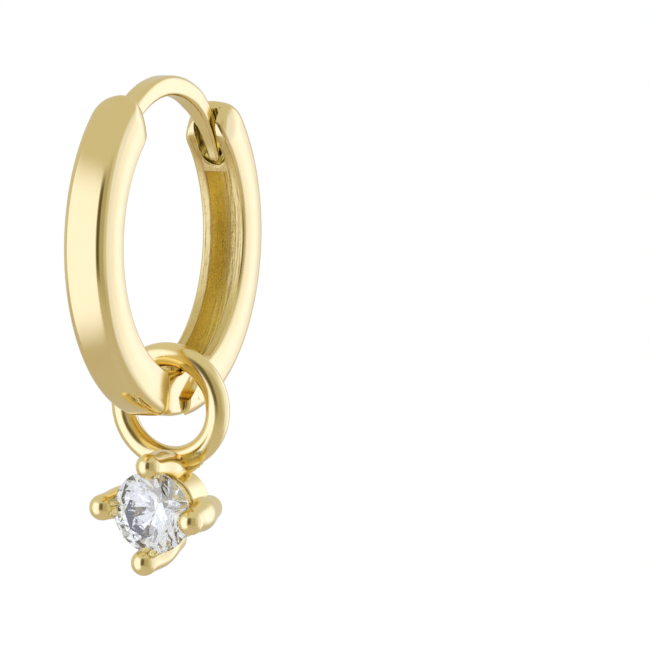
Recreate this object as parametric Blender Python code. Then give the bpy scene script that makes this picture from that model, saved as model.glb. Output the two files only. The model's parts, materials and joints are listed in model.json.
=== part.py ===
"""Huggie earring: a hinged hoop of two half bands, with a round stone hanging from it in a four-claw basket.

The earring stands as it hangs on an ear. Its hinge axis runs along X, the front faces -Y and +Z is up.
The origin is the underside of the ear post's crest, where the ear lobe carries it.
"""

from math import asin, copysign, cos, pi, radians, sin, sqrt, tan

import bmesh
import bpy
from mathutils import Matrix, Vector

MM = 0.001

# The hoop's band, a rounded bar bent to a circle
HOOP_RADIUS = 7.0 * MM
BAND_THICKNESS = 1.8 * MM
BAND_WIDTH = 2.04 * MM
OUTER_FILLET = 0.45 * MM
INNER_FILLET = 0.18 * MM
CROWN = 0.06 * MM
END_ROUNDING = 0.45 * MM
SHOULDER_ROUNDING = 0.12 * MM
FRONT_END_ANGLE = radians(33)
BACK_END_ANGLE = radians(41)

# The ear post, two arcs that meet at the crest
CREST_BELOW = 1.36 * MM
POST_THICKNESS = 0.80 * MM
POST_WIDTH = 0.86 * MM
POST_FILLET = 0.16 * MM
TIP_THICKNESS = 0.56 * MM
TIP_WIDTH = 0.52 * MM
TIP_ROUNDING = 0.18 * MM
FRONT_BEND_INSET = 1.55 * MM
BACK_BEND_INSET = 2.10 * MM
TIP_ANGLE = radians(67)
TAPER_ANGLE = radians(30)
ROOT_DEPTH = 0.9 * MM
ROOT_TURN = radians(6)

# The back half's channel and catch
CHANNEL_WIDTH = 1.04 * MM
MOUTH_RELIEF = 0.02 * MM
FLOOR_THICKNESS = 0.75 * MM
HEAD_ANGLE = radians(63)
SLOT_CLEARANCE = 0.22 * MM
SLOT_FLOOR = 0.72 * MM
TIP_GAP = 0.10 * MM

# The hinge at the bottom
PIN_RADIUS = 0.28 * MM
PIN_BEHIND = 1.25 * MM
PIN_DEPTH = 0.80 * MM
PIN_RECESS = 0.02 * MM
PIN_CLEARANCE = 0.03 * MM
TONGUE_CLEARANCE = 0.05 * MM
TONGUE_END = 0.76 * MM
TONGUE_BURIED = 0.54 * MM
TONGUE_UNDER = 0.8
TONGUE_NOSE = (radians(-75), radians(65))
KNUCKLE_PROUD = 0.10 * MM
SHOULDER_AHEAD = 1.40 * MM
CHEEK_BEHIND = 0.25 * MM
CHEEK_FRONT_HEIGHT = 0.65 * MM
CHEEK_SLOPE = radians(40)
FLOOR_CLEARANCE = 0.18 * MM

# The drop: a ring soldered to a four-claw basket with a collar behind the stone
RING_WIRE = 0.475 * MM
RING_BORE = 1.60 * MM
RING_BEHIND = 0.36 * MM
RING_GAP = 0.02 * MM
DROP_TILT = radians(6.3)
BASKET_BELOW = 3.85 * MM
BASKET_ROLL = radians(6.4)
COLLAR_RADIUS = 1.26 * MM
COLLAR_WALL = 0.17 * MM
COLLAR_DEPTH = 0.72 * MM
COLLAR_AHEAD = 0.50 * MM
COLLAR_ROUNDNESS = 0.6
CLAW_TIP_RADIUS = 0.44 * MM
CLAW_ROOT_RADIUS = 0.50 * MM
CLAW_ROOT_SPREAD = 1.50 * MM
CLAW_OVERLAP = 0.14 * MM
CLAW_OVER_GIRDLE = 0.50 * MM
SEAT_GAP = 0.04 * MM

# The round brilliant
STONE_RADIUS = 1.65 * MM
GIRDLE_AHEAD = 2.05 * MM
GIRDLE_HEIGHT = 0.10 * MM
TABLE_SHARE = 0.57
STAR_SHARE = 0.78
CULET_SHARE = 0.22
CROWN_ANGLE = radians(34.5)
PAVILION_ANGLE = radians(40.8)

# How finely curves are cut into flats
BAND_STEP = radians(4.5)
POST_STEPS = 30
CORNER_STEPS = 4
FILLET_KEPT = 0.3
TONGUE_STEPS = 12
SLOT_STEPS = 10
CAP_STEPS = 4
CLAW_SIDES = 14
RING_STEPS = 56
RING_SIDES = 16
COLLAR_STEPS = 40
COLLAR_SIDES = 12
PIN_SIDES = 32

# Worked out from the sizes above
INNER_RADIUS = HOOP_RADIUS - BAND_THICKNESS
MIDDLE_RADIUS = HOOP_RADIUS - BAND_THICKNESS / 2
POST_CREST = HOOP_RADIUS - CREST_BELOW
FRONT_BEND = HOOP_RADIUS - FRONT_BEND_INSET
BACK_BEND = HOOP_RADIUS - BACK_BEND_INSET
HOOP_CENTRE = Vector((0, 0, -POST_CREST))
PIN_ORBIT = HOOP_RADIUS - PIN_DEPTH
PIN_CENTRE = HOOP_CENTRE + Vector((0, PIN_BEHIND, -sqrt(PIN_ORBIT**2 - PIN_BEHIND**2)))
TONGUE_WIDTH = CHANNEL_WIDTH - 2 * TONGUE_CLEARANCE
KNUCKLE_TOP = HOOP_CENTRE.z - INNER_RADIUS + KNUCKLE_PROUD
RING_RADIUS = RING_BORE + RING_WIRE
BORE_RISE = sqrt(RING_BORE**2 - (TONGUE_WIDTH / 2) ** 2)
RING_RISE = (BORE_RISE + RING_WIRE) * cos(DROP_TILT) - RING_WIRE
RING_CENTRE_Z = KNUCKLE_TOP + RING_GAP - RING_RISE
DROP_PIVOT = Vector((0, RING_BEHIND, RING_CENTRE_Z + RING_RADIUS * cos(DROP_TILT)))
CLAW_TIP_SPREAD = STONE_RADIUS - CLAW_OVERLAP + CLAW_TIP_RADIUS


def clear_scene():
    for obj in list(bpy.data.objects):
        bpy.data.objects.remove(obj)


def metal(name, color, roughness):
    """A plated metal, with the colour of the piece that it covers."""
    material = bpy.data.materials.new(name)
    material.use_nodes = True
    shader = material.node_tree.nodes["Principled BSDF"]
    shader.inputs["Base Color"].default_value = (*color, 1)
    shader.inputs["Metallic"].default_value = 1.0
    shader.inputs["Roughness"].default_value = roughness
    return material


def clear_crystal(name):
    """The colourless stone."""
    material = bpy.data.materials.new(name)
    material.use_nodes = True
    shader = material.node_tree.nodes["Principled BSDF"]
    shader.inputs["Base Color"].default_value = (0.95, 0.96, 0.98, 1)
    shader.inputs["Roughness"].default_value = 0.02
    shader.inputs["IOR"].default_value = 2.15
    shader.inputs["Transmission Weight"].default_value = 0.85
    return material


def finish(name, bm, material):
    """A bmesh as a named object, smooth where its faces meet at shallow angles."""
    bmesh.ops.recalc_face_normals(bm, faces=bm.faces)
    mesh = bpy.data.meshes.new(name)
    bm.to_mesh(mesh)
    bm.free()
    mesh.shade_smooth()
    mesh.set_sharp_from_angle(angle=radians(35))
    obj = bpy.data.objects.new(name, mesh)
    bpy.context.scene.collection.objects.link(obj)
    if material:
        mesh.materials.append(material)
    return obj


def helper(name, bm):
    """A shape that only cuts or joins another, and isn't a piece itself."""
    obj = finish(name, bm, None)
    obj.hide_render = True
    obj.display_type = "WIRE"
    return obj


def combine(obj, other, operation):
    modifier = obj.modifiers.new(f"{operation.lower()} {other.name}", "BOOLEAN")
    modifier.operation = operation
    modifier.solver = "EXACT"
    modifier.object = other


def loft(rings):
    """A closed bmesh through rings of equally many points, with a flat cap at each end."""
    bm = bmesh.new()
    loops = [[bm.verts.new(point) for point in ring] for ring in rings]
    for near, far in zip(loops, loops[1:]):
        for i, corner in enumerate(near):
            j = (i + 1) % len(near)
            bm.faces.new((corner, near[j], far[j], far[i]))
    bm.faces.new(loops[0])
    bm.faces.new(reversed(loops[-1]))
    return bm


def prism(outline, width):
    """A (y, z) outline in the hoop's plane made a plate that is centred on X."""
    return loft([[Vector((x, y, z)) for y, z in outline] for x in (-width / 2, width / 2)])


def arc(centre, radius, start, end, steps):
    """Points (y, z) round a centre, by angles from +Y towards +Z."""
    angles = [start + (end - start) * i / steps for i in range(steps + 1)]
    return [(centre[0] + radius * cos(a), centre[1] + radius * sin(a)) for a in angles]


def corner(x, height, radius, start):
    """A quarter circle that rounds one corner of a section."""
    angles = [start + pi / 2 * i / CORNER_STEPS for i in range(CORNER_STEPS + 1)]
    return [(x + radius * cos(a), height + radius * sin(a)) for a in angles]


def section(width, thickness, outer, inner, crown, inset):
    """A band's (x, height) section, its height 0 on the inner face. An inset draws all its sides in."""
    half = width / 2 - inset
    top = thickness - crown - inset
    outer = max(outer - inset, outer * FILLET_KEPT)
    inner = max(inner - inset, inner * FILLET_KEPT)
    flat = half - outer
    crowned = [(flat * share, top + crown * (1 - share**2)) for share in (0.5, 0, -0.5)]
    return (
        corner(half - outer, top - outer, outer, 0)
        + crowned
        + corner(outer - half, top - outer, outer, pi / 2)
        + corner(inner - half, inset + inner, inner, pi)
        + corner(half - inner, inset + inner, inner, 3 * pi / 2)
    )


def rounding(radius):
    """(distance from the end, inset) for the rings that round an end, from the end inwards."""
    angles = [pi / 2 * i / CORNER_STEPS for i in range(CORNER_STEPS + 1)]
    return [(radius * (1 - sin(a)), radius * (1 - cos(a))) for a in reversed(angles)]


def band_section(inset):
    return section(BAND_WIDTH, BAND_THICKNESS, OUTER_FILLET, INNER_FILLET, CROWN, inset)


def radial_ring(angle, inset):
    """The band's section at an angle from the top, positive towards the front."""
    return [
        HOOP_CENTRE + Vector((x, -(INNER_RADIUS + h) * sin(angle), (INNER_RADIUS + h) * cos(angle)))
        for x, h in band_section(inset)
    ]


def upright_ring(y, inset):
    """The band's section where an upright plane across the hoop's bottom cuts it."""
    return [
        HOOP_CENTRE + Vector((x, y, -sqrt((INNER_RADIUS + h) ** 2 - y**2)))
        for x, h in band_section(inset)
    ]


def half_band(end_angle, bottom_y, side):
    """One half of the hoop, from its rounded top end to an upright cut at the bottom."""
    rings = [
        radial_ring(side * (end_angle + gap / MIDDLE_RADIUS), inset)
        for gap, inset in rounding(END_ROUNDING)
    ]
    start = end_angle + END_ROUNDING / MIDDLE_RADIUS
    stop = pi + side * asin(bottom_y / MIDDLE_RADIUS) - 2 * SHOULDER_ROUNDING / MIDDLE_RADIUS
    steps = round((stop - start) / BAND_STEP)
    for i in range(1, steps):
        rings.append(radial_ring(side * (start + (stop - start) * i / steps), 0))
    cut = [
        upright_ring(bottom_y - side * gap, inset) for gap, inset in rounding(SHOULDER_ROUNDING)
    ]
    return loft(rings + cut[::-1])


def post_ring(angle, width, thickness, inset):
    """The ear post's section at an angle from its crest, positive towards the back."""
    bend = BACK_BEND if angle > 0 else FRONT_BEND
    inner = bend - POST_THICKNESS / 2 + (POST_THICKNESS - thickness) / 2
    centre = Vector((0, 0, POST_THICKNESS / 2 - bend))
    profile = section(width, thickness, POST_FILLET, POST_FILLET, 0, inset)
    return [
        centre + Vector((x, (inner + h) * sin(angle), (inner + h) * cos(angle)))
        for x, h in profile
    ]


def ear_post():
    """The arched wire over the lobe, thinner towards the tip that snaps into the catch."""
    root = -(FRONT_END_ANGLE + ROOT_DEPTH / MIDDLE_RADIUS + ROOT_TURN)
    rings = []
    for i in range(POST_STEPS):
        angle = root + (TIP_ANGLE - root) * i / POST_STEPS
        share = min(max((angle - TAPER_ANGLE) / (TIP_ANGLE - TAPER_ANGLE), 0), 1)
        width = POST_WIDTH + (TIP_WIDTH - POST_WIDTH) * share
        thickness = POST_THICKNESS + (TIP_THICKNESS - POST_THICKNESS) * share
        rings.append(post_ring(angle, width, thickness, 0))
    for gap, inset in reversed(rounding(TIP_ROUNDING)):
        angle = TIP_ANGLE + (TIP_ROUNDING - gap) / BACK_BEND
        rings.append(post_ring(angle, TIP_WIDTH, TIP_THICKNESS, inset))
    return loft(rings)


def tongue():
    """The front half's flat tongue, which fills the channel's mouth and turns on the pin."""
    floor = HOOP_RADIUS - CROWN / 2
    buried = SHOULDER_AHEAD + TONGUE_BURIED
    centre = (HOOP_CENTRE.y, HOOP_CENTRE.z)
    pin = (PIN_CENTRE.y, PIN_CENTRE.z)
    start = -pi / 2 - asin(buried / floor)
    stop = -pi / 2 + asin(PIN_BEHIND / floor) * TONGUE_UNDER
    under = arc(centre, floor, start, stop, TONGUE_STEPS)
    end = arc(pin, TONGUE_END, *TONGUE_NOSE, TONGUE_STEPS)
    top = [(PIN_BEHIND - TONGUE_END / 2, KNUCKLE_TOP), (-buried, KNUCKLE_TOP)]
    return prism(under + end + top, TONGUE_WIDTH)


def cross_pin(radius, length):
    """A cylinder along the hinge axis."""
    bm = bmesh.new()
    place = Matrix.Translation(PIN_CENTRE) @ Matrix.Rotation(pi / 2, 4, "Y")
    bmesh.ops.create_cone(
        bm, cap_ends=True, segments=PIN_SIDES, radius1=radius, radius2=radius, depth=length, matrix=place
    )
    return bm


def channel():
    """The hollow of the back half, from the catch's head round to the hinge."""
    low = INNER_RADIUS - END_ROUNDING
    high = HOOP_RADIUS - FLOOR_THICKNESS
    half = CHANNEL_WIDTH / 2
    end = pi + asin(SHOULDER_AHEAD / MIDDLE_RADIUS)
    steps = round((end - HEAD_ANGLE) / BAND_STEP)
    rings = []
    for i in range(steps + 1):
        angle = HEAD_ANGLE + (end - HEAD_ANGLE) * i / steps
        out = Vector((0, sin(angle), cos(angle)))
        sides = ((-half, low), (half, low), (half, high), (-half, high))
        rings.append([HOOP_CENTRE + out * r + Vector((x, 0, 0)) for x, r in sides])
    return loft(rings)


def hinge_mouth():
    """The room behind the cheeks where the tongue's end turns."""
    back = PIN_BEHIND + TONGUE_END + FLOOR_CLEARANCE
    low = HOOP_CENTRE.z - HOOP_RADIUS - END_ROUNDING
    high = HOOP_CENTRE.z - INNER_RADIUS + BAND_THICKNESS
    front = -SHOULDER_AHEAD
    width = CHANNEL_WIDTH + 2 * MOUTH_RELIEF
    return prism([(front, low), (back, low), (back, high), (front, high)], width)


def cheek_slope():
    """The sloping cut over the cheeks' noses, which leaves the ring its place on the tongue."""
    nose = Vector((CHEEK_BEHIND, HOOP_CENTRE.z - HOOP_RADIUS + CHEEK_FRONT_HEIGHT))
    along = Vector((cos(CHEEK_SLOPE), sin(CHEEK_SLOPE)))
    front = nose - along * BAND_THICKNESS
    back = nose + along * 2 * BAND_THICKNESS
    top = back.y + BAND_THICKNESS
    outline = [tuple(front), tuple(back), (back.x, top), (front.x, top)]
    return prism(outline, BAND_WIDTH + 2 * END_ROUNDING)


def post_tip():
    """The middle of the ear post's very end."""
    angle = TIP_ANGLE + TIP_ROUNDING / BACK_BEND
    return Vector((0, BACK_BEND * sin(angle), POST_THICKNESS / 2 - BACK_BEND + BACK_BEND * cos(angle)))


def catch_slot():
    """The U-shaped slot that the post's tip snaps into, open at the head's end and inner face."""
    middle = (BACK_END_ANGLE + HEAD_ANGLE) / 2
    out = Vector((0, sin(middle), cos(middle)))
    along = Vector((0, -cos(middle), sin(middle)))
    half = TIP_WIDTH / 2 + SLOT_CLEARANCE
    bottom = (post_tip() - HOOP_CENTRE).dot(along) - TIP_GAP + half
    top = HOOP_RADIUS * tan(middle - BACK_END_ANGLE) + BAND_THICKNESS
    outline = [(-half, top)] + arc((0, bottom), half, -pi, 0, SLOT_STEPS) + [(half, top)]
    levels = (INNER_RADIUS - BAND_THICKNESS / 2, HOOP_RADIUS - SLOT_FLOOR)
    return loft(
        [[HOOP_CENTRE + Vector((x, 0, 0)) + along * t + out * r for x, t in outline] for r in levels]
    )


def oval(half_width, half_depth, sides, roundness):
    """(radial, axial) points of a wire's section, from an ellipse towards a rounded rectangle."""
    turns = [2 * pi * j / sides for j in range(sides)]
    square = [[copysign(abs(v) ** roundness, v) for v in (cos(b), sin(b))] for b in turns]
    return [(half_width * u, half_depth * v) for u, v in square]


def wire_ring(radius, profile, steps):
    """A closed ring of wire that stands across Y, its centre at the origin."""
    bm = bmesh.new()
    loops = []
    sides = len(profile)
    for i in range(steps):
        a = 2 * pi * i / steps
        out = Vector((sin(a), 0, cos(a)))
        loops.append([bm.verts.new(out * (radius + r) + Vector((0, y, 0))) for r, y in profile])
    for i, near in enumerate(loops):
        far = loops[(i + 1) % steps]
        for j in range(sides):
            k = (j + 1) % sides
            bm.faces.new((near[j], near[k], far[k], far[j]))
    return bm


def claw(azimuth):
    """A tapered claw with round ends, from behind the stone to the tip over its edge."""
    out = Vector((sin(azimuth), 0, cos(azimuth)))
    root = out * CLAW_ROOT_SPREAD
    tip = out * CLAW_TIP_SPREAD - Vector((0, GIRDLE_AHEAD + CLAW_OVER_GIRDLE, 0))
    axis = (tip - root).normalized()
    side = axis.cross(out).normalized()
    across = side.cross(axis)
    rings = []
    turns = [pi / 2 * i / CAP_STEPS for i in range(1, CAP_STEPS + 1)]
    for a in turns:
        rings.append((root - axis * CLAW_ROOT_RADIUS * cos(a), CLAW_ROOT_RADIUS * sin(a)))
    for a in reversed(turns):
        rings.append((tip + axis * CLAW_TIP_RADIUS * cos(a), CLAW_TIP_RADIUS * sin(a)))
    sides = [2 * pi * (j + 0.5) / CLAW_SIDES for j in range(CLAW_SIDES)]
    return loft([[at + (side * cos(b) + across * sin(b)) * r for b in sides] for at, r in rings])


def brilliant(radius):
    """The cut stone: table, 8 stars, 8 kites, 16 upper and 16 lower girdle facets and 8 mains."""
    def around(share, height, offset, count):
        angles = [offset + 2 * pi * i / count for i in range(count)]
        return [bm.verts.new((radius * share * sin(a), -height, radius * share * cos(a))) for a in angles]

    bm = bmesh.new()
    step = pi / 8
    crown = radius * tan(CROWN_ANGLE)
    pavilion = radius * tan(PAVILION_ANGLE)
    table = around(TABLE_SHARE, GIRDLE_HEIGHT / 2 + crown * (1 - TABLE_SHARE), 0, 8)
    star = around(STAR_SHARE, GIRDLE_HEIGHT / 2 + crown * (1 - STAR_SHARE * cos(step)), step, 8)
    upper = around(1, GIRDLE_HEIGHT / 2, 0, 16)
    lower = around(1, -GIRDLE_HEIGHT / 2, 0, 16)
    deep = around(CULET_SHARE, -GIRDLE_HEIGHT / 2 - pavilion * (1 - CULET_SHARE * cos(step)), step, 8)
    culet = bm.verts.new((0, GIRDLE_HEIGHT / 2 + pavilion, 0))
    bm.faces.new(table)
    for i in range(8):
        j = (i + 1) % 8
        before, at, after, last = (2 * i - 1) % 16, 2 * i, 2 * i + 1, (2 * i + 2) % 16
        bm.faces.new((table[i], star[i], table[j]))
        bm.faces.new((table[i], star[i - 1], upper[at], star[i]))
        bm.faces.new((star[i], upper[at], upper[after]))
        bm.faces.new((star[i], upper[after], upper[last]))
        bm.faces.new((upper[before], upper[at], lower[at], lower[before]))
        bm.faces.new((upper[at], upper[after], lower[after], lower[at]))
        bm.faces.new((deep[i], lower[at], lower[after]))
        bm.faces.new((deep[i], lower[after], lower[last]))
        bm.faces.new((culet, deep[i - 1], lower[at], deep[i]))
    return bm


def turn_about(obj, pivot):
    """Moves an object's origin to its joint's axis, with its shape left in place."""
    obj.data.transform(Matrix.Translation(-pivot))
    obj.location = pivot


def front_half(gold):
    obj = finish("front_half", half_band(FRONT_END_ANGLE, -SHOULDER_AHEAD, 1), gold)
    combine(obj, helper("post", ear_post()), "UNION")
    combine(obj, helper("tongue", tongue()), "UNION")
    combine(obj, helper("tongue_hole", cross_pin(PIN_RADIUS + PIN_CLEARANCE, 2 * BAND_WIDTH)), "DIFFERENCE")


def back_half(gold):
    obj = finish("back_half", half_band(BACK_END_ANGLE, CHEEK_BEHIND, -1), gold)
    turn_about(obj, PIN_CENTRE)
    cutters = {
        "channel": channel(),
        "hinge_mouth": hinge_mouth(),
        "cheek_slope": cheek_slope(),
        "catch_slot": catch_slot(),
        "cheek_holes": cross_pin(PIN_RADIUS + PIN_CLEARANCE, 2 * BAND_WIDTH),
    }
    for name, shape in cutters.items():
        combine(obj, helper(name, shape), "DIFFERENCE")


def hinge_pin(gold):
    obj = finish("hinge_pin", cross_pin(PIN_RADIUS, BAND_WIDTH - 2 * PIN_RECESS), gold)
    turn_about(obj, PIN_CENTRE)


def drop(gold, crystal):
    """The ring with its basket and stone, hung from the ring's topmost point of wire."""
    swing = bpy.data.objects.new("drop_swing", None)
    bpy.context.scene.collection.objects.link(swing)
    swing.location = DROP_PIVOT
    swing.rotation_euler = (DROP_TILT, 0, 0)
    round_wire = oval(RING_WIRE, RING_WIRE, RING_SIDES, 1)
    setting = finish("charm_setting", wire_ring(RING_RADIUS, round_wire, RING_STEPS), gold)
    setting.parent = swing
    setting.data.transform(Matrix.Translation((0, 0, -RING_RADIUS)))
    basket = Vector((0, 0, -RING_RADIUS - BASKET_BELOW))
    band = oval(COLLAR_WALL, COLLAR_DEPTH, COLLAR_SIDES, COLLAR_ROUNDNESS)
    band = [(r, y - COLLAR_AHEAD) for r, y in band]
    joined = {"collar": wire_ring(COLLAR_RADIUS, band, COLLAR_STEPS)}
    for i in range(4):
        joined[f"claw_{i + 1}"] = claw(BASKET_ROLL + pi / 2 * i)
    for name, shape in joined.items():
        piece = helper(name, shape)
        piece.parent = swing
        piece.location = basket
        combine(setting, piece, "UNION")
    seat = helper("stone_seat", brilliant(STONE_RADIUS + SEAT_GAP))
    stone = finish("stone", brilliant(STONE_RADIUS), crystal)
    for piece in (seat, stone):
        piece.parent = swing
        piece.location = basket - Vector((0, GIRDLE_AHEAD, 0))
        piece.rotation_euler = (0, BASKET_ROLL, 0)
    combine(setting, seat, "DIFFERENCE")


def main():
    clear_scene()
    band_gold = metal("band gold", (0.83, 0.66, 0.32), 0.12)
    pin_gold = metal("pin gold", (0.80, 0.62, 0.30), 0.20)
    drop_gold = metal("drop gold", (0.84, 0.64, 0.25), 0.10)
    front_half(band_gold)
    back_half(band_gold)
    hinge_pin(pin_gold)
    drop(drop_gold, clear_crystal("stone crystal"))


main()
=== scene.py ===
# %% [markdown]
# # A huggie earring in gold, with a hanging stone
#
# The earring is two half hoops on a hinge, an ear post that arches between them, and a drop: a ring
# soldered to a four-claw basket with a round brilliant. The packed model already fixes every size and
# joint. This lesson gives each piece the surface that a polished jewel has.
#
# We work in millimetres round the centre of the hoop, because Blender's edit-mode tools are tuned for
# sizes near one. Each finished piece is then shrunk to metres and moved into the frame in one step.

# %% Load the frame
import json
from math import asin, atan2, ceil, cos, hypot, pi, radians, sin, sqrt, tan

import bmesh
import bpy
from mathutils import Matrix, Vector


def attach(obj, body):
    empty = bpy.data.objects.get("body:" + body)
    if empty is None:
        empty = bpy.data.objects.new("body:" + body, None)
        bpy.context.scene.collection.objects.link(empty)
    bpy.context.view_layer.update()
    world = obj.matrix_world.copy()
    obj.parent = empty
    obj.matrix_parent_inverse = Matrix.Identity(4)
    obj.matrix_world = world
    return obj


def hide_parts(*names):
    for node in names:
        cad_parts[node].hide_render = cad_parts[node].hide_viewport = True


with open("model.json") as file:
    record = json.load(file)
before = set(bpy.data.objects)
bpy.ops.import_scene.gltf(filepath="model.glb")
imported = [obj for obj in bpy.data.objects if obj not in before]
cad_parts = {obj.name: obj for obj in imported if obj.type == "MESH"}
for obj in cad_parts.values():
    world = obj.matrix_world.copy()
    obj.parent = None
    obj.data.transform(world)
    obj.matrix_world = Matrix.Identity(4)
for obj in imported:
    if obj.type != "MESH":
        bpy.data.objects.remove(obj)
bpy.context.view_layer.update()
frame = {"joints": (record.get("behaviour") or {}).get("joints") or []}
joints = {joint["name"]: joint for joint in frame["joints"]}

# %% [markdown]
# ## The sizes we need
#
# The hoop is 14 mm across. The places of the two joints come from the frame, so that what turns stays
# round its own axis. Everything else is a named size, as it would be on a jeweller's drawing. Points
# closer than a hair count as one, and what is near a surface counts as lying on it.

# %% Sizes in millimetres
HOOP_CENTRE = Vector((0, 0, -5.64))
HOOP_RADIUS = 7.0
BAND_THICKNESS = 1.8
BAND_WIDTH = 2.04
INNER_RADIUS = HOOP_RADIUS - BAND_THICKNESS
MIDDLE_RADIUS = HOOP_RADIUS - BAND_THICKNESS / 2
METRE = 1000
HAIR, NEAR = 1e-3, 0.02


def in_hoop(place_m):
    """A point of the frame, in millimetres from the centre of the hoop."""
    return Vector(place_m) * METRE - HOOP_CENTRE


def rounded(values, digits=2):
    """Numbers that are short enough to print."""
    return tuple(round(value, digits) for value in values)


PIN = in_hoop(joints["hoop_hinge"]["pos_m"])
RING_TOP = in_hoop(joints["drop_swing"]["pos_m"])
print("hinge pin at", rounded(PIN, 3), "ring hangs at", rounded(RING_TOP, 3))

# %% [markdown]
# ## Camera
#
# The photograph looks at the earring from the right of its front and slightly from above, through a long
# lens, so nearly without perspective. The camera stands where the photographer's did. It is aimed to the
# right of the hoop and below it, which puts the earring in the left half of the picture.

# %% Place the camera
PHOTO_SIDE = 650
CAMERA_TURN = radians(27.02)
CAMERA_RISE = radians(4.08)
CAMERA_DISTANCE = 560.8
PIXELS_PER_MM = 25.52
HOOP_PIXEL = (163.8, 239.4)
SENSOR_WIDTH = 36
CLIP_NEAR, CLIP_FAR = 0.01, 20


def direction(turn, rise):
    """Where one looks after a turn from the front towards the right, and a rise."""
    return Vector((sin(turn) * cos(rise), -cos(turn) * cos(rise), sin(rise)))


def place_camera():
    back = direction(CAMERA_TURN, CAMERA_RISE)
    right = Vector((cos(CAMERA_TURN), sin(CAMERA_TURN), 0))
    aside = (PHOTO_SIDE / 2 - HOOP_PIXEL[0]) / PIXELS_PER_MM
    above = (HOOP_PIXEL[1] - PHOTO_SIDE / 2) / PIXELS_PER_MM
    eye = HOOP_CENTRE + back * CAMERA_DISTANCE
    aim = HOOP_CENTRE + right * aside + back.cross(right) * above
    lens = bpy.data.cameras.new("photo_camera")
    lens.sensor_width = SENSOR_WIDTH
    lens.lens = SENSOR_WIDTH * PIXELS_PER_MM * CAMERA_DISTANCE / PHOTO_SIDE
    lens.clip_start, lens.clip_end = CLIP_NEAR, CLIP_FAR
    camera = bpy.data.objects.new("photo_camera", lens)
    bpy.context.scene.collection.objects.link(camera)
    camera.location = eye / METRE
    camera.rotation_euler = (aim - eye).to_track_quat("-Z", "Y").to_euler()
    bpy.context.scene.camera = camera
    return camera


camera = place_camera()
print("lens", round(camera.data.lens), "mm from", rounded(camera.location, 3), "m")

# %% [markdown]
# ## A small language for materials
#
# Node trees are long to write by hand. A thin wrapper round a socket lets us write shader maths as plain
# Python, such as `1 - mask * 0.5`, and one method adds any other node.

# %% Sockets as values
class Wire:
    """A number in a shader. Its operators add Math nodes."""

    def __init__(self, finish, socket):
        self.finish, self.socket = finish, socket

    def math(self, operation, *values, clamp=False):
        return self.finish.node("Math", {"operation": operation, "use_clamp": clamp}, *values)

    def __add__(self, other):
        return self.math("ADD", self, other)

    def __sub__(self, other):
        return self.math("SUBTRACT", self, other)

    def __rsub__(self, other):
        return self.math("SUBTRACT", other, self)

    def __mul__(self, other):
        return self.math("MULTIPLY", self, other)

    __radd__, __rmul__ = __add__, __mul__

    def clamped(self):
        return self.math("ADD", self, 0, clamp=True)


print("operators with a number in front", [name for name in vars(Wire) if name.startswith("__r")])


# %% Materials, node by node
class Finish:
    """A material that is built up node by node."""

    def __init__(self, name, **constants):
        self.material = bpy.data.materials.new(name)
        self.material.use_nodes = True
        self.tree = self.material.node_tree
        self.shader = self.tree.nodes["Principled BSDF"]
        self.set(self.shader, constants)

    def set(self, node, values):
        """Sets sockets by name, or links them where the value is a Wire."""
        for name, value in values.items():
            key = name if isinstance(name, int) else name.replace("_", " ")
            socket = node.inputs[key]
            if isinstance(value, Wire):
                self.tree.links.new(value.socket, socket)
            else:
                socket.default_value = value

    def node(self, kind, settings, *values, output=0, **named):
        """Adds a node: its settings first, then its sockets in order or by name."""
        made = self.tree.nodes.new("ShaderNode" + kind)
        for name, value in settings.items():
            setattr(made, name, value)
        self.set(made, dict(enumerate(values)))
        self.set(made, named)
        return Wire(self, made.outputs[output])

    def place(self, stretch=(1, 1, 1)):
        """Object coordinates in millimetres. Under one, a stretch draws a pattern out along that axis."""
        where = self.node("TexCoord", {}, output="Object")
        return self.node("Mapping", {}, Vector=where, Scale=[s * METRE for s in stretch])

    def noise(self, scale, where, detail=2.0, roughness=0.5):
        """Clouds that are about 1 / scale millimetres wide."""
        return self.node(
            "TexNoise", {}, Vector=where, Scale=scale, Detail=detail, Roughness=roughness, output="Fac"
        )

    def ramp(self, value, low, high, kind="LINEAR"):
        """Nought up to the low value, one from the high value on, and a slope between them."""
        return self.node("MapRange", {"interpolation_type": kind}, value, low, high, 0.0, 1.0)

    def mix(self, share, first, second):
        """Two colours mixed by a share."""
        made = self.tree.nodes.new("ShaderNodeMix")
        made.data_type = "RGBA"
        self.set(made, {0: share, 6: first, 7: second})
        return Wire(self, made.outputs[2])

    def bump(self, height, strength, depth_mm):
        return self.node("Bump", {}, Height=height, Strength=strength, Distance=depth_mm / METRE)

    def finish(self, **surface):
        """Sets what varies over the surface, and hands the material over."""
        self.set(self.shader, surface)
        return self.material


print("a finish can", [name for name in vars(Finish) if not name.startswith("_")])

# %% [markdown]
# ## Gold
#
# The metal is plated brass: a pale yellow gold. A metal's whole colour is the tint of its reflections, so
# the finish lies in how clean they are. The band is machine polished, with the faintest waviness and fine
# wiping marks across it. The drop is polished in a tumbler, so its reflections are softer. The polishing
# wheel never reached into the channel, so its floor shows grain, specks and long streaks from the cutter.
# The rims beside it carry the same marks and painted shade: they are painted darker, as if the front half
# kept the light from them. The catch slot's gold is painted brighter, as painted light for its deep shade.

# %% Gold finishes
GOLD = (0.94, 0.76, 0.34, 1)
GOLD_PALE = (1.00, 0.82, 0.37, 1)
GOLD_WARM = (0.92, 0.73, 0.27, 1)
GOLD_YELLOW = (0.97, 0.84, 0.30, 1)
# A brighter gold for the catch slot: painted light that makes up for the shade inside it.
GOLD_PAINTED_LIGHT = (1.00, 0.93, 0.60, 1)
# The dark gold of stains, which the rims also take as painted shade.
GOLD_STAIN_AND_SHADE = (0.66, 0.46, 0.14, 1)


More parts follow.
